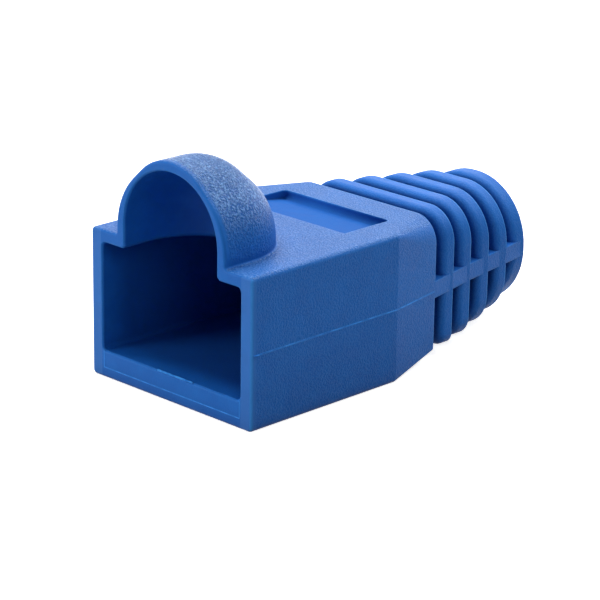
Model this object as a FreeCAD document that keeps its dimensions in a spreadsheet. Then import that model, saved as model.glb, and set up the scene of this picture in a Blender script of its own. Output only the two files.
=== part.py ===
import FreeCAD, Part
import math
import os
import Sketcher

# Strain relief boot for an RJ45 plug: one moulding of soft PVC.
# X is the width, Y runs from the open plug end to the cable end, Z is up.
# Lengths are in millimetres. The origin is under the middle of the part's length,
# on the underside of the housing. A "place" is a distance behind the open end.

SIZES = [
    ("box_width", 14.1, "housing, over both side walls"),
    ("box_height", 9.55, "housing, underside to top surface"),
    ("box_length", 12.4, "open end to the line where the sides turn in"),
    ("box_corner", 0.3, "long outer corners of the housing"),
    ("side_wall", 1.0, "housing side wall"),
    ("top_wall", 0.82, "housing top wall"),
    ("floor_wall", 1.78, "housing floor"),
    ("socket_depth", 12.0, "open end to the back wall of the plug socket"),
    ("socket_corner", 0.3, "long inner corners of the plug socket"),
    ("shoulder_length", 4.3, "tapering part between housing and first groove"),
    ("shoulder_width", 12.5, "width at the first groove"),
    ("shoulder_drop", 0.02, "fall of the top surface at the first groove"),
    ("shoulder_rise", 0.8, "rise of the underside at the first groove"),
    ("shoulder_upper", 1.68, "upper corner radius at the first groove"),
    ("shoulder_lower", 0.25, "lower corner radius at the first groove"),
    ("waist_distance", 4.3, "first groove to the waist, where the tail changes its taper"),
    ("waist_width", 10.72, "width at the waist"),
    ("waist_drop", 0.08, "fall of the top at the waist"),
    ("waist_rise", 0.5, "rise of the underside at the waist"),
    ("waist_upper", 2.68, "upper corner radius at the waist"),
    ("waist_lower", 1.45, "lower corner radius at the waist"),
    ("tail_length", 10.92, "first groove to the cable end"),
    ("ring_diameter", 8.76, "last rib, at the cable end"),
    ("ring_flat", 0.3, "flat left on each side of the last rib"),
    ("ring_edge", 0.2, "bevel around the cable end"),
    ("axis_height", 4.88, "cable axis above the underside"),
    ("cable_hole", 5.8, "cable hole diameter"),
    ("groove_pitch", 2.12, "groove to groove"),
    ("groove_width", 1.07, "gap between two ribs"),
    ("groove_depth", 1.0, "groove floor below the rib faces"),
    ("groove_round", 0.3, "smallest corner radius of a groove floor"),
    ("rib_round", 0.45, "rounding of each rib on its plug side"),
    ("spine_width", 1.1, "bridge across the grooves on each side"),
    ("spine_sink", 0.02, "end of the bridge below the side of the last rib"),
    ("hood_width", 9.52, "latch hood, over both flanks"),
    ("hood_height", 5.5, "latch hood above the top surface"),
    ("hood_straight", 2.18, "straight part of the hood behind the open end"),
    ("hood_foot", 0.45, "height above the top surface where the flanks start to lean"),
    ("hood_flank", 4.6, "radius of the hood's flanks"),
    ("hood_crown", 3.78, "radius of the hood's crown"),
    ("hood_root", 0.15, "hollow corner between hood and top surface"),
    ("hollow_width", 8.05, "hollow under the hood, with a round roof"),
    ("hollow_height", 4.85, "top of the hollow above the top surface"),
    ("hollow_lip", 0.2, "bevel where the hollow meets the socket"),
    ("rim_outer", 0.2, "rounding around the outside of the open end"),
    ("rim_inner", 0.1, "bevel around the inside of the open end"),
    ("recess_start", 10.05, "open end to the front line of the top recess"),
    ("recess_end", 14.2, "open end to the back wall of the top recess"),
    ("recess_width", 9.1, "top recess"),
    ("recess_depth", 0.6, "top recess at its back wall"),
    ("recess_round", 0.3, "rounding inside the back of the recess"),
    ("overlap", 0.5, "how far cuts and joined shapes run past each other"),
]
GROOVES = 5
HALF_TURN = 180
TOLERANCE = 0.001

DERIVED = [
    ("shoulder_place", "box_length + shoulder_length"),
    ("waist_place", "shoulder_place + waist_distance"),
    ("ring_place", "shoulder_place + tail_length"),
    ("rear_distance", "tail_length - waist_distance"),
    ("last_groove", "%d * groove_pitch" % (GROOVES - 1)),
    ("rib_length", "groove_pitch - groove_width"),
    ("rib_level", "(rib_length + rib_round) / 2"),
    ("middle", "ring_place / 2"),
    ("open_end", "0"),
    ("shoulder_top", "box_height - shoulder_drop"),
    ("shoulder_height", "shoulder_top - shoulder_rise"),
    ("waist_top", "box_height - waist_drop"),
    ("ring_top", "axis_height + ring_diameter / 2"),
    ("ring_base", "axis_height - ring_diameter / 2"),
    ("ring_round", "(ring_diameter - ring_flat) / 2"),
    ("ring_front", "shoulder_place + last_groove + groove_width"),
    ("ring_length", "ring_place - ring_front"),
    ("spine_end", "ring_front + 2 * rib_round"),
    ("spine_end_width", "ring_diameter - 2 * spine_sink"),
    ("spine_top", "axis_height + spine_width / 2"),
    ("socket_width", "box_width - 2 * side_wall"),
    ("socket_top", "box_height - top_wall"),
    ("socket_height", "socket_top - floor_wall"),
    ("hole_length", "ring_place - socket_depth + overlap"),
    ("hole_radius", "cable_hole / 2"),
    ("hood_sill", "box_height - top_wall / 2"),
    ("hood_feet", "box_height + hood_foot"),
    ("hood_centre", "box_height + hood_height - hood_crown"),
    ("hood_half", "hood_width / 2"),
    ("hollow_sill", "socket_top - overlap"),
    ("hollow_half", "hollow_width / 2"),
    ("hollow_centre", "box_height + hollow_height - hollow_half"),
]


def along_tail(place, shoulder, waist, ring):
    """Formula for a size of the tail at a distance behind the first groove's edge."""
    front = "%s + (%s - %s) * %s / waist_distance" % (shoulder, waist, shoulder, place)
    rear = "%s + (%s - %s) * (%s - waist_distance) / rear_distance" % (waist, ring, waist, place)
    return "(%s < waist_distance ? %s : %s)" % (place, front, rear)


def section_cells(key, place, inset):
    """Cells for a cross section of the tail, inset from its outer shape."""
    level = key + "level"
    width = along_tail(level, "shoulder_width", "waist_width", "ring_diameter")
    top = along_tail(level, "shoulder_top", "waist_top", "ring_top")
    base = along_tail(level, "shoulder_rise", "waist_rise", "ring_base")
    upper = along_tail(level, "shoulder_upper", "waist_upper", "ring_round")
    lower = along_tail(level, "shoulder_lower", "waist_lower", "ring_round")
    return [
        (level, place),
        (key + "width", width + " - 2 * " + inset),
        (key + "top", top + " - " + inset),
        (key + "base", base + " + " + inset),
        (key + "height", key + "top - " + key + "base"),
        (key + "upper", "max(groove_round; %s - %s)" % (upper, inset)),
        (key + "lower", "max(groove_round; %s - %s)" % (lower, inset)),
    ]


for number in range(GROOVES):
    neck = "neck%d_" % number
    start = "%d * groove_pitch" % number
    DERIVED.append((neck + "place", "shoulder_place + " + start))
    DERIVED += section_cells(neck, start + " + groove_width / 2", "groove_depth")
for number in range(GROOVES - 1):
    rib = "rib%d_" % number
    start = "%d * groove_pitch + groove_width" % number
    DERIVED.append((rib + "place", "shoulder_place + " + start))
    DERIVED += section_cells(rib, start + " + rib_level", "0")

os.makedirs("parts", exist_ok=True)
doc = FreeCAD.newDocument("boot")

sheet = doc.addObject("Spreadsheet::Sheet", "spec")
row = 1
for name, length, note in SIZES:
    sheet.set("A%d" % row, note)
    sheet.set("B%d" % row, str(length))
    sheet.setAlias("B%d" % row, name)
    row += 1
for name, formula in DERIVED:
    sheet.set("A%d" % row, name.replace("_", " "))
    sheet.set("B%d" % row, "=" + formula)
    sheet.setAlias("B%d" % row, name)
    row += 1
doc.recompute()


def size(name):
    return float(sheet.get(name))


body = doc.addObject("PartDesign::Body", "boot_body")
body.Label = "boot_body"


def origin_plane(role):
    """One of the body's own origin planes."""
    for feature in body.Origin.OriginFeatures:
        if feature.Role == role:
            return feature
    raise RuntimeError("no origin plane " + role)


def cross_sketch(name, place):
    """A sketch across the part; the value is the distance behind the open end."""
    sketch = body.newObject("Sketcher::SketchObject", name)
    sketch.AttachmentSupport = [(origin_plane("XZ_Plane"), "")]
    sketch.MapMode = "FlatFace"
    sketch.setExpression("AttachmentOffset.Base.z", "spec.middle - spec." + place)
    return sketch


def side_sketch(name):
    """A sketch on the middle plane; its upright axis stands at the open end."""
    sketch = body.newObject("Sketcher::SketchObject", name)
    sketch.AttachmentSupport = [(origin_plane("YZ_Plane"), "")]
    sketch.MapMode = "FlatFace"
    sketch.setExpression("AttachmentOffset.Base.x", "-spec.middle")
    return sketch


def relate(sketch, *details):
    """Add a geometric constraint."""
    return sketch.addConstraint(Sketcher.Constraint(*details))


def drive(sketch, tag, cell, *details):
    """Add a dimension that is driven by a cell of the sheet."""
    index = relate(sketch, *details, size(cell))
    sketch.renameConstraint(index, tag)
    sketch.setExpression("Constraints." + tag, "spec." + cell)


def line(sketch, x1, y1, x2, y2):
    start = FreeCAD.Vector(x1, y1, 0)
    finish = FreeCAD.Vector(x2, y2, 0)
    return sketch.addGeometry(Part.LineSegment(start, finish), False)


def circle(x, y, radius):
    return Part.Circle(FreeCAD.Vector(x, y, 0), FreeCAD.Vector(0, 0, 1), radius)


def arc(sketch, x, y, radius, start, finish):
    """An arc drawn anticlockwise; the angles are in degrees."""
    piece = Part.ArcOfCircle(circle(x, y, radius), math.radians(start), math.radians(finish))
    return sketch.addGeometry(piece, False)


def join(sketch, kind, first, first_end, second, second_end):
    relate(sketch, kind, first, first_end, second, second_end)


def closed_loop(sketch, edges):
    for step, edge in enumerate(edges):
        join(sketch, "Coincident", edge, 2, edges[(step + 1) % len(edges)], 1)


def rounded_section(name, place, width, top, height, upper, lower):
    """A cross section with rounded corners, symmetric about the middle plane."""
    sketch = cross_sketch(name, place)
    a = size(width) / 2
    t = size(top)
    b = t - size(height)
    u = size(upper)
    l = size(lower)
    right = line(sketch, a, b + l, a, t - u)
    upper_right = arc(sketch, a - u, t - u, u, 0, 90)
    roof = line(sketch, a - u, t, u - a, t)
    upper_left = arc(sketch, u - a, t - u, u, 90, 180)
    left = line(sketch, -a, t - u, -a, b + l)
    lower_left = arc(sketch, l - a, b + l, l, 180, 270)
    base = line(sketch, l - a, b, a - l, b)
    lower_right = arc(sketch, a - l, b + l, l, 270, 360)
    ring = [right, upper_right, roof, upper_left, left, lower_left, base, lower_right]
    for step, edge in enumerate(ring):
        join(sketch, "Tangent", edge, 2, ring[(step + 1) % len(ring)], 1)
    relate(sketch, "Vertical", right)
    relate(sketch, "Equal", upper_right, upper_left)
    relate(sketch, "Equal", lower_right, lower_left)
    relate(sketch, "Symmetric", roof, 1, roof, 2, -2)
    drive(sketch, "width", width, "DistanceX", left, 1, right, 2)
    drive(sketch, "top", top, "DistanceY", -1, 1, roof, 1)
    drive(sketch, "height", height, "DistanceY", base, 2, roof, 1)
    drive(sketch, "upper", upper, "Radius", upper_right)
    drive(sketch, "lower", lower, "Radius", lower_right)
    return sketch


def rectangle(name, place, width, top, height):
    """A rectangular cross section, symmetric about the middle plane."""
    sketch = cross_sketch(name, place)
    a = size(width) / 2
    t = size(top)
    b = t - size(height)
    right = line(sketch, a, b, a, t)
    roof = line(sketch, a, t, -a, t)
    left = line(sketch, -a, t, -a, b)
    base = line(sketch, -a, b, a, b)
    closed_loop(sketch, [right, roof, left, base])
    relate(sketch, "Vertical", right)
    relate(sketch, "Vertical", left)
    relate(sketch, "Symmetric", roof, 1, roof, 2, -2)
    drive(sketch, "width", width, "DistanceX", left, 1, right, 2)
    drive(sketch, "top", top, "DistanceY", -1, 1, roof, 1)
    drive(sketch, "height", height, "DistanceY", right, 1, right, 2)
    return sketch


def hood_arch(name, place, whole):
    """Arch with upright feet, round flanks, short slopes and a round crown; whole, or its right half."""
    sketch = cross_sketch(name, place)
    half = size("hood_half")
    sill = size("hood_sill")
    feet = size("hood_feet")
    centre = size("hood_centre")
    flank = size("hood_flank")
    crown = size("hood_crown")
    inset = half - flank
    rise = centre - feet
    turned = math.acos((flank - crown) / math.hypot(inset, rise))
    lean = math.atan2(rise, -inset) - turned
    side = inset + flank * math.cos(lean)
    level = feet + flank * math.sin(lean)
    edge = crown * math.cos(lean)
    peak = centre + crown * math.sin(lean)
    lean = math.degrees(lean)
    foot_right = line(sketch, half, sill, half, feet)
    flank_right = arc(sketch, inset, feet, flank, 0, lean)
    slope_right = line(sketch, side, level, edge, peak)
    if whole:
        crown_arc = arc(sketch, 0, centre, crown, lean, 180 - lean)
        slope_left = line(sketch, -edge, peak, -side, level)
        flank_left = arc(sketch, -inset, feet, flank, 180 - lean, 180)
        foot_left = line(sketch, -half, feet, -half, sill)
        base = line(sketch, -half, sill, half, sill)
        join(sketch, "Tangent", crown_arc, 2, slope_left, 1)
        join(sketch, "Tangent", slope_left, 2, flank_left, 1)
        join(sketch, "Tangent", flank_left, 2, foot_left, 1)
        join(sketch, "Coincident", foot_left, 2, base, 1)
        relate(sketch, "Vertical", foot_left)
        relate(sketch, "Equal", flank_left, flank_right)
        relate(sketch, "Horizontal", foot_left, 1, foot_right, 2)
        relate(sketch, "Symmetric", base, 1, base, 2, -2)
        drive(sketch, "width", "hood_width", "DistanceX", base, 1, base, 2)
    else:
        crown_arc = arc(sketch, 0, centre, crown, lean, 90)
        base = close_half(sketch, crown_arc, half, sill, centre + crown)
        drive(sketch, "half", "hood_half", "DistanceX", base, 1, base, 2)
    join(sketch, "Tangent", foot_right, 2, flank_right, 1)
    join(sketch, "Tangent", flank_right, 2, slope_right, 1)
    join(sketch, "Tangent", slope_right, 2, crown_arc, 1)
    join(sketch, "Coincident", base, 2, foot_right, 1)
    relate(sketch, "Vertical", foot_right)
    relate(sketch, "PointOnObject", crown_arc, 3, -2)
    drive(sketch, "sill", "hood_sill", "DistanceY", -1, 1, foot_right, 1)
    drive(sketch, "feet", "hood_feet", "DistanceY", -1, 1, foot_right, 2)
    drive(sketch, "centre", "hood_centre", "DistanceY", -1, 1, crown_arc, 3)
    drive(sketch, "flank", "hood_flank", "Radius", flank_right)
    drive(sketch, "crown", "hood_crown", "Radius", crown_arc)
    return sketch


def hollow_arch(name, place, whole):
    """Arch with upright feet and a half-round roof; whole, or its right half."""
    sketch = cross_sketch(name, place)
    half = size("hollow_half")
    sill = size("hollow_sill")
    centre = size("hollow_centre")
    foot_right = line(sketch, half, sill, half, centre)
    if whole:
        roof = arc(sketch, 0, centre, half, 0, 180)
        foot_left = line(sketch, -half, centre, -half, sill)
        base = line(sketch, -half, sill, half, sill)
        join(sketch, "Tangent", roof, 2, foot_left, 1)
        join(sketch, "Coincident", foot_left, 2, base, 1)
        relate(sketch, "Vertical", foot_left)
        relate(sketch, "Symmetric", base, 1, base, 2, -2)
        drive(sketch, "width", "hollow_width", "DistanceX", base, 1, base, 2)
    else:
        roof = arc(sketch, 0, centre, half, 0, 90)
        base = close_half(sketch, roof, half, sill, centre + half)
        relate(sketch, "PointOnObject", roof, 3, -2)
        drive(sketch, "half", "hollow_half", "DistanceX", base, 1, base, 2)
    join(sketch, "Tangent", foot_right, 2, roof, 1)
    join(sketch, "Coincident", base, 2, foot_right, 1)
    relate(sketch, "Vertical", foot_right)
    drive(sketch, "sill", "hollow_sill", "DistanceY", -1, 1, foot_right, 1)
    drive(sketch, "centre", "hollow_centre", "DistanceY", -1, 1, roof, 3)
    return sketch


def close_half(sketch, roof, half, sill, top):
    """Close the right half of an arch along the middle plane and the sill; gives the sill."""
    upright = line(sketch, 0, top, 0, sill)
    base = line(sketch, 0, sill, half, sill)
    join(sketch, "Coincident", roof, 2, upright, 1)
    join(sketch, "Coincident", upright, 2, base, 1)
    relate(sketch, "PointOnObject", upright, 1, -2)
    relate(sketch, "Vertical", upright)
    relate(sketch, "Horizontal", base)
    return base


def extrude(kind, name, profile, length):
    """A pad that grows, or a pocket that cuts, from its sketch towards the cable end."""
    feature = body.newObject("PartDesign::" + kind, name)
    feature.Profile = profile
    feature.Reversed = kind == "Pad"
    feature.setExpression("Length", "spec." + length)
    doc.recompute()
    return feature


def turn(kind, name, profile):
    """Half a turn about the middle plane's upright axis: a revolution, or a groove that cuts."""
    feature = body.newObject("PartDesign::" + kind, name)
    feature.Profile = profile
    feature.ReferenceAxis = (profile, ["V_Axis"])
    feature.Angle = HALF_TURN
    doc.recompute()
    return feature


def loft(name, sections, ruled):
    feature = body.newObject("PartDesign::AdditiveLoft", name)
    feature.Profile = sections[0]
    feature.Sections = sections[1:]
    feature.Ruled = ruled
    doc.recompute()
    return feature


def near(first, second):
    return abs(first - second) < TOLERANCE


def middle_point(edge):
    return edge.valueAt((edge.FirstParameter + edge.LastParameter) / 2)


def lies_at(edge, axis, level):
    """True when a whole edge lies at one level along an axis."""
    points = [middle_point(edge)] + [vertex.Point for vertex in edge.Vertexes]
    return all(near(getattr(point, axis), level) for point in points)


def along(place):
    """Y of a distance behind the open end."""
    return place - size("middle")


def names_of(wanted):
    """Names of the body's edges that are among the wanted ones."""
    names = []
    for index, edge in enumerate(body.Shape.Edges):
        if any(edge.isSame(other) for other in wanted):
            names.append("Edge%d" % (index + 1))
    return names


def dress(kind, name, wanted, cell):
    """Round (Fillet) or bevel (Chamfer) edges of the body as it stands."""
    base = body.Tip
    names = names_of(wanted)
    feature = body.newObject("PartDesign::" + kind, name)
    feature.Base = (base, names)
    feature.setExpression("Radius" if kind == "Fillet" else "Size", "spec." + cell)
    doc.recompute()
    return feature


def outer_edges(level):
    """Outer edges of the body's cross faces at one level along the part."""
    found = []
    for face in body.Shape.Faces:
        if all(lies_at(edge, "y", level) for edge in face.Edges):
            found += face.OuterWire.Edges
    return found


# Housing and shoulder
box = ("box_width", "box_height", "box_height", "box_corner", "box_corner")
mouth_section = rounded_section("mouth_section", "open_end", *box)
turn_section = rounded_section("turn_section", "box_length", *box)
shoulder_section = rounded_section(
    "shoulder_section", "shoulder_place",
    "shoulder_width", "shoulder_top", "shoulder_height", "shoulder_upper", "shoulder_lower")
doc.recompute()
extrude("Pad", "housing", mouth_section, "box_length")
loft("shoulder", [turn_section, shoulder_section], True)

# Ribbed tail: a neck under each groove and a rib behind it, rounded on its plug side
for number in range(GROOVES):
    neck = "neck%d_" % number
    outline = rounded_section(
        "neck_section_%d" % number, neck + "place",
        neck + "width", neck + "top", neck + "height", neck + "upper", neck + "lower")
    extrude("Pad", "neck_%d" % number, outline, "groove_width")
    if number < GROOVES - 1:
        rib = "rib%d_" % number
        outline = rounded_section(
            "rib_section_%d" % number, rib + "place",
            rib + "width", rib + "top", rib + "height", rib + "upper", rib + "lower")
        extrude("Pad", "rib_%d" % number, outline, "rib_length")
        level = along(size(rib + "place"))
    else:
        outline = rounded_section(
            "ring_section", "ring_front",
            "ring_diameter", "ring_top", "ring_diameter", "ring_round", "ring_round")
        extrude("Pad", "ring", outline, "ring_length")
        level = along(size("ring_front"))
    dress("Fillet", "rib_rounding_%d" % number, outer_edges(level), "rib_round")
dress("Chamfer", "ring_bevel", outer_edges(along(size("ring_place"))), "ring_edge")

# Bridge that joins the ribs along both sides
bridge = [
    rectangle("bridge_start", "shoulder_place", "shoulder_width", "spine_top", "spine_width"),
    rectangle("bridge_middle", "waist_place", "waist_width", "spine_top", "spine_width"),
    rectangle("bridge_end", "spine_end", "spine_end_width", "spine_top", "spine_width"),
]
doc.recompute()
loft("bridge", bridge, True)

# Hood over the plug's latch
extrude("Pad", "hood", hood_arch("hood_section", "open_end", True), "hood_straight")
turn("Revolution", "hood_back", hood_arch("hood_half_section", "hood_straight", False))

# Plug socket
socket_section = rounded_section(
    "socket_section", "open_end",
    "socket_width", "socket_top", "socket_height", "socket_corner", "socket_corner")
extrude("Pocket", "socket", socket_section, "socket_depth")

# Cable hole, from the back wall of the socket to the cable end
hole_outline = cross_sketch("cable_hole_outline", "socket_depth")
hole_edge = hole_outline.addGeometry(circle(0, size("axis_height"), size("hole_radius")), False)
relate(hole_outline, "PointOnObject", hole_edge, 3, -2)
drive(hole_outline, "height", "axis_height", "DistanceY", -1, 1, hole_edge, 3)
drive(hole_outline, "radius", "hole_radius", "Radius", hole_edge)
extrude("Pocket", "cable_hole", hole_outline, "hole_length")

# Hollow under the hood, open to the front and down into the socket
extrude("Pocket", "hollow", hollow_arch("hollow_section", "open_end", True), "hood_straight")
turn("Groove", "hollow_back", hollow_arch("hollow_half_section", "hood_straight", False))

# Recess in the top surface behind the hood, deepest at its back wall
recess_outline = side_sketch("recess_outline")
start = size("recess_start")
end = size("recess_end")
level = size("box_height")
deep = level - size("recess_depth")
high = level + size("overlap")
ramp = line(recess_outline, start, level, end, deep)
wall = line(recess_outline, end, deep, end, high)
lid = line(recess_outline, end, high, start, high)
front = line(recess_outline, start, high, start, level)
closed_loop(recess_outline, [ramp, wall, lid, front])
relate(recess_outline, "Vertical", wall)
relate(recess_outline, "Vertical", front)
relate(recess_outline, "Horizontal", lid)
drive(recess_outline, "start", "recess_start", "DistanceX", -1, 1, ramp, 1)
drive(recess_outline, "finish", "recess_end", "DistanceX", -1, 1, wall, 1)
drive(recess_outline, "level", "box_height", "DistanceY", -1, 1, ramp, 1)
drive(recess_outline, "depth", "recess_depth", "DistanceY", ramp, 2, ramp, 1)
drive(recess_outline, "lid", "overlap", "DistanceY", front, 2, front, 1)
recess = extrude("Pocket", "recess", recess_outline, "recess_width")
recess.Midplane = True
doc.recompute()


def hood_plan(edge, level, half):
    """True for an edge at a level that follows the outline of the hood seen from above."""
    point = middle_point(edge)
    behind = max(0.0, point.y - along(size("hood_straight")))
    return lies_at(edge, "z", level) and near(math.hypot(point.x, behind), half)


def recess_edge(edge):
    """True for the upright back corners of the recess and the foot of its back wall."""
    point = middle_point(edge)
    if not lies_at(edge, "y", along(size("recess_end"))):
        return False
    deep = size("box_height") - size("recess_depth")
    corner = near(abs(point.x), size("recess_width") / 2) and point.z > deep
    return corner or lies_at(edge, "z", deep)


def open_end_rims():
    """Outer and inner rim of the flat face at the open end."""
    for face in body.Shape.Faces:
        if all(lies_at(edge, "y", along(0)) for edge in face.Edges):
            outer = face.OuterWire
            inner = [wire for wire in face.Wires if not wire.isSame(outer)]
            return outer.Edges, inner[0].Edges
    raise RuntimeError("no face at the open end")


# Roundings
edges = [edge for edge in body.Shape.Edges if recess_edge(edge)]
dress("Fillet", "recess_rounding", edges, "recess_round")
edges = [edge for edge in body.Shape.Edges if hood_plan(edge, size("box_height"), size("hood_half"))]
dress("Fillet", "root_rounding", edges, "hood_root")
edges = [edge for edge in body.Shape.Edges if hood_plan(edge, size("socket_top"), size("hollow_half"))]
dress("Chamfer", "lip_bevel", edges, "hollow_lip")
dress("Fillet", "outer_rim_rounding", open_end_rims()[0], "rim_outer")
dress("Chamfer", "inner_rim_bevel", open_end_rims()[1], "rim_inner")

doc.recompute()
for item in doc.Objects:
    if "Invalid" in item.State or "Error" in item.State:
        raise RuntimeError(item.Name + " did not build")
shape = body.Shape
if shape.isNull() or not shape.isValid() or len(shape.Solids) != 1:
    raise RuntimeError("boot_body is not one sound solid")
shape.exportStep("parts/boot_body.step")
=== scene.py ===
import math
import random

import bmesh
import bpy
from mathutils import Matrix, Vector


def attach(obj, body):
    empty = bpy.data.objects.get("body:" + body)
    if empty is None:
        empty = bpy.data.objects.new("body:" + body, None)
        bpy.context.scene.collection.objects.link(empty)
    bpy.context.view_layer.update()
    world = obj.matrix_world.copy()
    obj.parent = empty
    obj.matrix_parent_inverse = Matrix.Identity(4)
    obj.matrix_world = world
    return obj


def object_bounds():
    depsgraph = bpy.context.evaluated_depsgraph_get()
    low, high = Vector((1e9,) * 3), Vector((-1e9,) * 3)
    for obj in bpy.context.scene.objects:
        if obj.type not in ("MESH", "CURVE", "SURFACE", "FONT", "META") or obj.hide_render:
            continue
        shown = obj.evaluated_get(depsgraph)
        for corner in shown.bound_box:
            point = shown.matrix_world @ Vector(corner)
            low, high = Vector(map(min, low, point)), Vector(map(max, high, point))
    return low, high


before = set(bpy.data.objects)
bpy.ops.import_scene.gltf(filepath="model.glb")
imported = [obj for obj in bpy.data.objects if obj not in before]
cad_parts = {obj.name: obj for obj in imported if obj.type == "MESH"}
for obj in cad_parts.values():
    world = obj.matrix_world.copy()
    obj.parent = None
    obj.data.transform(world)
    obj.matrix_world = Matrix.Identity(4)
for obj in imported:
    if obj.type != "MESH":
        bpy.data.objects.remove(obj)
cad_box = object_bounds()

MM = 0.001
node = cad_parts["boot_body"]
low, high = [Vector(corner) / MM for corner in cad_box]

# Places on the boot, in millimetres and in the frame's axes
FRONT = low.y
SIDE = high.x
BOX_TOP = 9.55
BOX_END = FRONT + 12.4
SHOULDER_END = FRONT + 16.7
SHOULDER_SIDE = 6.25
HOOD_TURN = FRONT + 2.18
HOLLOW_CENTRE = 10.375
HOLLOW_RADIUS = 4.025
RECESS_FRONT = FRONT + 10.05
RECESS_BACK = FRONT + 14.2
RECESS_HALF = 4.55
OPENING_HALF = 6.05
OPENING_SILL = 1.78
SOCKET_TOP = 8.73
PARTING = 4.78
BAND = 4.88

# ---------------------------------------------------------------- camera
AZIMUTH = 44.61
ELEVATION = 18.81
ROLL = 0.84
DISTANCE = 170.0 * MM
TARGET = Vector((-0.92, -1.81, 3.51)) * MM
SENSOR = 36.0
LENS = 161.64


def direction(azimuth, elevation):
    """Unit vector from the object towards a camera or lamp; 0 is the front, 90 the +X side."""
    a = math.radians(azimuth)
    e = math.radians(elevation)
    return Vector((math.sin(a) * math.cos(e), -math.cos(a) * math.cos(e), math.sin(e)))


def make_camera():
    back = direction(AZIMUTH, ELEVATION)
    level = Vector((0.0, 0.0, 1.0)).cross(back).normalized()
    upward = back.cross(level)
    r = math.radians(ROLL)
    right = level * math.cos(r) + upward * math.sin(r)
    top = upward * math.cos(r) - level * math.sin(r)
    data = bpy.data.cameras.new("view")
    data.sensor_width = SENSOR
    data.lens = LENS
    data.clip_start = 0.001
    data.clip_end = 10.0
    camera = bpy.data.objects.new("view", data)
    bpy.context.scene.collection.objects.link(camera)
    turn = Matrix((right, top, back)).transposed().to_4x4()
    camera.matrix_world = Matrix.Translation(TARGET + back * DISTANCE) @ turn
    bpy.context.scene.camera = camera


# ---------------------------------------------------------------- node helpers
class Nodes:
    """A short way to write a material's node tree."""

    def __init__(self, tree):
        self.tree = tree

    def add(self, kind, **values):
        made = self.tree.nodes.new(kind)
        for key, value in values.items():
            setattr(made, key, value)
        return made

    def link(self, source, target):
        self.tree.links.new(source, target)

    def put(self, socket, value):
        if isinstance(value, bpy.types.NodeSocket):
            self.link(value, socket)
        else:
            socket.default_value = value

    def math(self, operation, a, b=0.0):
        made = self.add("ShaderNodeMath", operation=operation)
        for socket, value in zip(made.inputs, (a, b)):
            self.put(socket, value)
        return made.outputs[0]

    def mul(self, *values):
        result = values[0]
        for value in values[1:]:
            result = self.math("MULTIPLY", result, value)
        return result

    def plus(self, *values):
        result = values[0]
        for value in values[1:]:
            result = self.math("ADD", result, value)
        return result

    def minus(self, a, b):
        return self.math("SUBTRACT", a, b)

    def over(self, value, low, high):
        """0 below low, 1 above high, smooth between."""
        made = self.add("ShaderNodeMapRange", interpolation_type="SMOOTHSTEP")
        for name, v in (("Value", value), ("From Min", low), ("From Max", high)):
            self.put(made.inputs[name], v)
        return made.outputs["Result"]

    def under(self, value, low, high):
        """1 below low, 0 above high, smooth between."""
        return self.minus(1.0, self.over(value, low, high))

    def blend(self, factor, a, b):
        """A number that goes from a to b with the factor."""
        made = self.add("ShaderNodeMix", data_type="FLOAT")
        self.put(made.inputs[0], factor)
        self.put(made.inputs[2], a)
        self.put(made.inputs[3], b)
        return made.outputs[0]

    def tint(self, factor, a, b):
        """A colour that goes from a to b with the factor."""
        made = self.add("ShaderNodeMix", data_type="RGBA")
        self.put(made.inputs[0], factor)
        self.put(made.inputs[6], a)
        self.put(made.inputs[7], b)
        return made.outputs[2]

    def noise(self, vector, scale, detail=2.0, rough=0.5):
        made = self.add("ShaderNodeTexNoise")
        self.put(made.inputs["Vector"], vector)
        made.inputs["Scale"].default_value = scale
        made.inputs["Detail"].default_value = detail
        made.inputs["Roughness"].default_value = rough
        return made.outputs["Fac"]

    def place(self):
        """The place on the object, in millimetres."""
        scaled = self.add("ShaderNodeVectorMath", operation="SCALE")
        self.link(self.add("ShaderNodeTexCoord").outputs["Object"], scaled.inputs[0])
        scaled.inputs["Scale"].default_value = 1.0 / MM
        return scaled.outputs[0]

    def split(self, vector):
        made = self.add("ShaderNodeSeparateXYZ")
        self.link(vector, made.inputs[0])
        return made.outputs

    def length(self, x, y, z):
        made = self.add("ShaderNodeCombineXYZ")
        for socket, value in zip(made.inputs, (x, y, z)):
            self.put(socket, value)
        size = self.add("ShaderNodeVectorMath", operation="LENGTH")
        self.link(made.outputs[0], size.inputs[0])
        return size.outputs["Value"]


# ---------------------------------------------------------------- the PVC
PVC = (0.012, 0.155, 0.58, 1.0)
PVC_DEEP = (0.009, 0.138, 0.54, 1.0)
# Painted shade: the dark blue laid where light hardly reaches
PVC_SHADE = (0.001, 0.038, 0.21, 1.0)
# Painted highlight: the pale blue of sheen and glints on the grain and at the rim
PVC_HIGHLIGHT = (0.15, 0.37, 0.80, 1.0)
# Painted highlight: the pale blue laid on convex edges and front corners, and on the ridges of the
# mould lines
PVC_EDGE_HIGHLIGHT = (0.06, 0.36, 0.95, 1.0)
EDGE_SOFTNESS = 0.12 * MM
EDGE_HIGHLIGHT_REACH = 0.13 * MM
HOLLOW_REACH = 2.0 * MM

# Height of the grain in millimetres, by the finish it belongs to
RELIEF = {
    "hood": 0.02, "hood_above": 0.035, "hood_fine": 0.010, "top": 0.052, "side": 0.009,
    "tail": 0.006, "plain": 0.004, "specks": 0.012, "ripple": 0.006}
# Share of the pale blue painted as highlight and sheen on the grain's peaks and at the rim of the
# open end
HIGHLIGHT_SHARE = {
    "hood": 0.01, "hood_above": 0.36, "hood_fine": 0.04, "top": 0.40, "side": 0.09,
    "tail": 0.05, "rim": 0.15}
# Share of the painted shade, a darker blue in closed places, the recess, the socket, the valleys of
# the grain and the lower side
SHADE_SHARE = {
    "hollow": 0.85, "recess": 0.30, "inside": 0.6, "valley": 0.26,
    "low_side": 0.07, "low_side_fall": 0.12}
# Share of the pale blue painted as highlight on the front corners and the convex edges
EDGE_HIGHLIGHT_SHARE = {"corner": 0.6, "edge": 0.6}
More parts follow.
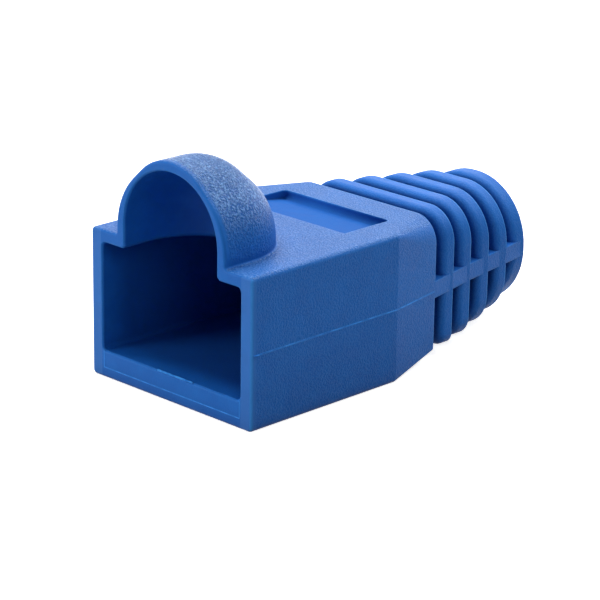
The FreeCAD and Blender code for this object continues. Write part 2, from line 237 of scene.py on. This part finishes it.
# Roughness, and what each finish adds to it
ROUGHNESS = 0.50
GLOSS_LEVEL = 0.15
ADDED_ROUGHNESS = {
    "hood": 0.15, "hood_above": -0.33, "top": -0.12, "side": 0.02, "recess": 0.25,
    "inside": 0.20, "cloud": 0.12, "ripple": 0.10}


def boot_material(name):
    """Soft blue PVC: coarse spark-eroded hood, finely grained top and sides, smoother elsewhere."""
    material = bpy.data.materials.new(name)
    material.use_nodes = True
    n = Nodes(material.node_tree)
    shader = material.node_tree.nodes["Principled BSDF"]

    place = n.place()
    x, y, z = n.split(place)
    facing = n.add("ShaderNodeNewGeometry").outputs["Normal"]
    nx, ny, nz = n.split(facing)
    wide = n.math("ABSOLUTE", x)

    # Where each finish lies
    behind = n.math("MAXIMUM", n.minus(y, HOOD_TURN), 0.0)
    above = n.math("MAXIMUM", n.minus(z, HOLLOW_CENTRE), 0.0)
    reach = n.length(x, behind, above)
    hood = n.mul(
        n.over(reach, HOLLOW_RADIUS + 0.2, HOLLOW_RADIUS + 0.4),
        n.over(z, BOX_TOP + 0.1, BOX_TOP + 0.5),
        n.over(y, FRONT + 0.25, FRONT + 0.55))
    in_recess = n.mul(
        n.over(y, RECESS_FRONT, RECESS_FRONT + 0.3),
        n.under(y, RECESS_BACK, RECESS_BACK + 0.05),
        n.under(wide, RECESS_HALF - 0.03, RECESS_HALF + 0.03),
        n.under(z, BOX_TOP - 0.05, BOX_TOP - 0.01))
    body_part = n.under(y, SHOULDER_END - 0.1, SHOULDER_END)
    outside = n.mul(body_part, n.over(wide, OPENING_HALF + 0.05, OPENING_HALF + 0.12))
    inside = n.mul(
        n.under(wide, OPENING_HALF + 0.02, OPENING_HALF + 0.05),
        n.over(y, FRONT + 0.3, FRONT + 2.5),
        n.under(y, BOX_END - 0.1, BOX_END),
        n.over(z, OPENING_SILL - 0.1, OPENING_SILL - 0.05),
        n.under(z, SOCKET_TOP + 0.05, SOCKET_TOP + 0.1))
    band = n.mul(
        n.over(y, SHOULDER_END - 0.1, SHOULDER_END + 0.1),
        n.under(n.math("ABSOLUTE", n.minus(z, BAND)), 0.5, 0.6))
    clear = n.minus(1.0, band)
    rim = n.mul(outside, n.under(y, FRONT + 0.2, FRONT + 0.5))
    corner = n.mul(
        n.over(wide, SIDE - 0.22, SIDE - 0.06),
        n.under(y, FRONT + 0.06, FRONT + 0.24))
    low_half = n.mul(outside, n.under(z, PARTING - 0.05, PARTING + 0.05))
    tail = n.minus(1.0, body_part)
    top = n.mul(
        body_part,
        n.over(nz, 0.55, 0.85),
        n.over(z, BOX_TOP - 1.6, BOX_TOP - 0.6),
        n.minus(1.0, in_recess))
    side = n.mul(
        outside,
        n.over(n.math("ABSOLUTE", nx), 0.5, 0.8),
        n.over(y, FRONT + 0.25, FRONT + 0.5))

    # Grain: coarse bumps on the hood, fine ones on the top, specks on the sides, a faint ripple
    facing_up = n.over(nz, 0.05, 0.5)
    pebbles = n.noise(place, 6.4, 2.0, 0.5)
    coarse = n.over(pebbles, 0.42, 0.60)
    tips = n.over(pebbles, 0.50, 0.62)
    fine = n.over(n.noise(place, 8.4, 2.0, 0.55), 0.38, 0.62)
    ripple = n.noise(place, 2.2, 3.0, 0.55)
    cloud = n.noise(place, 0.55, 3.0, 0.6)
    specks = n.over(n.noise(place, 5.2, 1.0, 0.5), 0.60, 0.68)
    height = n.plus(
        n.mul(coarse, hood, n.plus(RELIEF["hood"], n.mul(facing_up, RELIEF["hood_above"]))),
        n.mul(fine, n.plus(
            n.mul(top, RELIEF["top"]),
            n.mul(side, RELIEF["side"]),
            n.mul(hood, RELIEF["hood_fine"]),
            n.mul(tail, RELIEF["tail"]),
            RELIEF["plain"])),
        n.mul(specks, side, RELIEF["specks"]),
        n.mul(ripple, RELIEF["ripple"]))

    soft = n.add("ShaderNodeBevel", samples=4)
    soft.inputs["Radius"].default_value = EDGE_SOFTNESS
    # Convex edges, found by inside ambient occlusion, for the painted edge highlight
    edge_finder = n.add("ShaderNodeAmbientOcclusion", samples=6, inside=True)
    edge_finder.inputs["Distance"].default_value = EDGE_HIGHLIGHT_REACH
    edge = n.under(edge_finder.outputs["AO"], 0.55, 0.95)

    bump = n.add("ShaderNodeBump")
    bump.inputs["Strength"].default_value = 1.0
    bump.inputs["Distance"].default_value = MM
    n.link(height, bump.inputs["Height"])
    n.link(soft.outputs[0], bump.inputs["Normal"])
    n.link(bump.outputs[0], shader.inputs["Normal"])

    # Colour: cloudy blue, with painted shade where light hardly reaches, in the grain's valleys and
    # on the lower side, and painted highlights on the grain's peaks, the rim, the front corners and
    # the edges
    blue = n.tint(n.over(cloud, 0.35, 0.65), PVC_DEEP, PVC)
    # Painted shade: darker blue in the hollows by ambient occlusion, in the recess and in the
    # socket
    shut = n.add("ShaderNodeAmbientOcclusion", samples=6)
    shut.inputs["Distance"].default_value = HOLLOW_REACH
    hollow_shade = n.math(
        "MAXIMUM",
        n.mul(n.under(shut.outputs["AO"], 0.25, 0.85), clear, SHADE_SHARE["hollow"]),
        n.mul(in_recess, SHADE_SHARE["recess"]))
    hollow_shade = n.math("MAXIMUM", hollow_shade, n.mul(inside, SHADE_SHARE["inside"]))
    # Painted shade in the valleys of the hood's coarse grain
    valley_shade = n.mul(n.minus(1.0, coarse), hood, SHADE_SHARE["valley"])
    # Painted shade: the side below the parting line is darker, more so towards the bottom, where it
    # reflects the shaded floor
    fall = n.mul(n.under(z, 0.0, PARTING), SHADE_SHARE["low_side_fall"])
    shade = n.mul(low_half, n.plus(SHADE_SHARE["low_side"], fall))
    blue = n.tint(n.math("MAXIMUM", hollow_shade, n.plus(valley_shade, shade)), blue, PVC_SHADE)
    # Painted highlight: pale grain peaks, most on the hood's upward faces, also on the top, sides
    # and tail, and a pale strip at the rim
    highlight = n.plus(
        n.mul(
            n.plus(coarse, tips), hood,
            n.plus(HIGHLIGHT_SHARE["hood"], n.mul(n.over(nz, 0.25, 0.65), HIGHLIGHT_SHARE["hood_above"]))),
        n.mul(fine, n.plus(
            n.mul(top, HIGHLIGHT_SHARE["top"]),
            n.mul(side, HIGHLIGHT_SHARE["side"]),
            n.mul(hood, HIGHLIGHT_SHARE["hood_fine"]),
            n.mul(tail, HIGHLIGHT_SHARE["tail"]))),
        n.mul(rim, HIGHLIGHT_SHARE["rim"]))
    # Painted highlight on the front corners and the convex edges
    edge_highlight = n.math("MAXIMUM", n.mul(corner, EDGE_HIGHLIGHT_SHARE["corner"]), n.mul(edge, clear, EDGE_HIGHLIGHT_SHARE["edge"]))
    n.link(n.tint(edge_highlight, n.tint(highlight, blue, PVC_HIGHLIGHT), PVC_EDGE_HIGHLIGHT), shader.inputs["Base Color"])

    # Roughness: satin above on the hood and on the top, duller in the recess and inside
    gloss = n.plus(
        ROUGHNESS,
        n.mul(hood, n.plus(
            ADDED_ROUGHNESS["hood"], n.mul(facing_up, ADDED_ROUGHNESS["hood_above"]))),
        n.mul(top, ADDED_ROUGHNESS["top"]),
        n.mul(side, ADDED_ROUGHNESS["side"]),
        n.mul(in_recess, ADDED_ROUGHNESS["recess"]),
        n.mul(inside, ADDED_ROUGHNESS["inside"]),
        n.mul(n.minus(cloud, 0.5), ADDED_ROUGHNESS["cloud"]),
        n.mul(n.minus(ripple, 0.5), ADDED_ROUGHNESS["ripple"]))
    n.link(gloss, shader.inputs["Roughness"])
    shader.inputs["Specular IOR Level"].default_value = GLOSS_LEVEL
    return material


def line_material(name):
    """The same PVC drawn out thin in the joints of the mould: paler in patches as a painted
    highlight on the ridges, and plain.
    """
    material = bpy.data.materials.new(name)
    material.use_nodes = True
    n = Nodes(material.node_tree)
    shader = material.node_tree.nodes["Principled BSDF"]
    # Painted highlight: the lines' ridges paler in patches
    patchy = n.over(n.noise(n.place(), 1.6), 0.35, 0.65)
    n.link(n.tint(patchy, PVC, PVC_EDGE_HIGHLIGHT), shader.inputs["Base Color"])
    shader.inputs["Roughness"].default_value = 0.6
    shader.inputs["Specular IOR Level"].default_value = 0.1
    return material


def set_material(obj, material):
    obj.data.materials.clear()
    obj.data.materials.append(material)


set_material(node, boot_material("blue_pvc"))
line_pvc = line_material("blue_pvc_lines")

# ---------------------------------------------------------------- mould lines
STEP = 0.25


def along(points):
    """Points about one step apart on straight runs between the given ones."""
    path = [Vector(points[0])]
    for a, b in zip(points, points[1:]):
        a = Vector(a)
        b = Vector(b)
        count = max(1, round((b - a).length / STEP))
        path += [a.lerp(b, i / count) for i in range(1, count + 1)]
    return path


def ridge(name, points, outward, width, rise, swell=None):
    """A thin line of flash that stands on a face; swell scales its rise along its length."""
    path = along(points)
    rng = random.Random(name)
    outward = Vector(outward).normalized()
    mesh = bmesh.new()
    rows = []
    for i, point in enumerate(path):
        ahead = path[min(i + 1, len(path) - 1)] - path[max(i - 1, 0)]
        across = ahead.cross(outward).normalized() * width / 2
        part = i / (len(path) - 1)
        lift = rise * rng.uniform(0.75, 1.25) * (swell(part) if swell else 1.0)
        foot = point - outward * rise
        crest = point + outward * lift + across * rng.uniform(-0.2, 0.2)
        rows.append([mesh.verts.new(v * MM) for v in (foot + across, crest, foot - across)])
    for a, b in zip(rows, rows[1:]):
        for i in range(3):
            j = (i + 1) % 3
            mesh.faces.new((a[i], a[j], b[j], b[i]))
    mesh.faces.new(rows[0])
    mesh.faces.new(reversed(rows[-1]))
    bmesh.ops.recalc_face_normals(mesh, faces=mesh.faces)
    data = bpy.data.meshes.new(name)
    mesh.to_mesh(data)
    mesh.free()
    obj = bpy.data.objects.new(name, data)
    bpy.context.scene.collection.objects.link(obj)
    set_material(obj, line_pvc)
    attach(obj, "root")


def nub(part):
    """The parting line stands up in a small nub at the open end."""
    return 1.0 + 3.0 * math.exp(-((part - 0.012) / 0.012) ** 2)


def ragged(part):
    """Flash that comes and goes along the lip of the opening."""
    return max(0.2, 1.6 * math.sin(math.pi * part) * math.sin(17.0 * part + 0.6) ** 2)


for label, sign in (("right", 1), ("left", -1)):
    ridge(
        "parting_line_" + label,
        [(sign * SIDE, FRONT + 0.17, PARTING), (sign * SIDE, BOX_END, PARTING),
         (sign * SHOULDER_SIDE, SHOULDER_END, PARTING)],
        (sign, 0, 0), 0.08, 0.025, nub)

INSERT_LEVEL = 0.68
insert = [
    (-OPENING_HALF + 0.1, FRONT, OPENING_SILL), (-OPENING_HALF + 0.1, FRONT, INSERT_LEVEL),
    (OPENING_HALF, FRONT, INSERT_LEVEL), (OPENING_HALF, FRONT, OPENING_SILL)]
ridge("insert_line", insert, (0, -1, 0), 0.06, 0.015)
flash = [(-1.1, FRONT, OPENING_SILL), (2.0, FRONT, OPENING_SILL)]
ridge("lip_flash", flash, (0, -1, 0), 0.14, 0.03, ragged)

# ---------------------------------------------------------------- stage
WHITE = (1.0, 1.0, 1.0, 1.0)
FLOOR_SIZE = 3.0
FLOOR_TONE = 0.9
FLOOR_BOUNCE = 0.25
FLOOR_GLOW = 0.78
AMBIENT = 0.02
LAMP_SIZE = 0.12
LAMP_DISTANCE = 0.3
LAMP_AIM = Vector((0.0, 0.0, 0.005))
# Name, azimuth and elevation in degrees, power in watts
LAMPS = [
    ("front_left", -27, 12, 0.49),
    ("front_right", 62, 36, 0.11),
    ("left", -88, 62, 0.37),
    ("back_left", -135, 62, 0.29),
    ("back_low", -138, 28, 0.13),
    ("back", -170, 18, 0.15),
    ("back_high", 173, 53, 0.22),
    ("back_right", 148, 37, 0.10),
    ("right_high", 115, 62, 0.15),
    ("right", 95, 30, 0.05)]


def flat(name, size, z):
    mesh = bpy.data.meshes.new(name)
    s = size / 2
    mesh.from_pydata([(-s, -s, z), (s, -s, z), (s, s, z), (-s, s, z)], [], [(0, 1, 2, 3)])
    obj = bpy.data.objects.new(name, mesh)
    bpy.context.scene.collection.objects.link(obj)
    return obj


def seen(n):
    """1 for rays that look at the stage, 0 for rays by which the stage lights the part."""
    path = n.add("ShaderNodeLightPath").outputs
    rays = (path["Is Camera Ray"], path["Is Glossy Ray"], path["Is Transmission Ray"])
    return n.math("MAXIMUM", n.math("MAXIMUM", rays[0], rays[1]), rays[2])


def floor_material():
    material = bpy.data.materials.new("floor_white")
    material.use_nodes = True
    n = Nodes(material.node_tree)
    shader = material.node_tree.nodes["Principled BSDF"]
    shader.inputs["Roughness"].default_value = 1.0
    shader.inputs["Specular IOR Level"].default_value = 0.0
    shader.inputs["Emission Color"].default_value = WHITE
    visible = seen(n)
    tone = n.blend(visible, FLOOR_BOUNCE, FLOOR_TONE)
    paint = n.add("ShaderNodeCombineColor")
    for socket in paint.inputs:
        n.link(tone, socket)
    n.link(paint.outputs[0], shader.inputs["Base Color"])
    n.link(n.mul(visible, FLOOR_GLOW), shader.inputs["Emission Strength"])
    return material


floor = flat("floor", FLOOR_SIZE, 0.0)
set_material(floor, floor_material())

world = bpy.data.worlds.new("world")
world.use_nodes = True
bpy.context.scene.world = world
w = Nodes(world.node_tree)
background = world.node_tree.nodes["Background"]
background.inputs["Color"].default_value = WHITE
w.link(w.blend(seen(w), AMBIENT, 1.0), background.inputs["Strength"])


def lamp(name, azimuth, elevation, power):
    """A square area lamp that points at the object; the angles are as for the camera."""
    back = direction(azimuth, elevation)
    data = bpy.data.lights.new(name, "AREA")
    data.shape = "SQUARE"
    data.size = LAMP_SIZE
    data.energy = power
    obj = bpy.data.objects.new(name, data)
    bpy.context.scene.collection.objects.link(obj)
    obj.location = LAMP_AIM + back * LAMP_DISTANCE
    obj.rotation_euler = back.to_track_quat("Z", "Y").to_euler()


for name, azimuth, elevation, power in LAMPS:
    lamp(name, azimuth, elevation, power)

make_camera()
bpy.context.scene.view_settings.view_transform = "Standard"
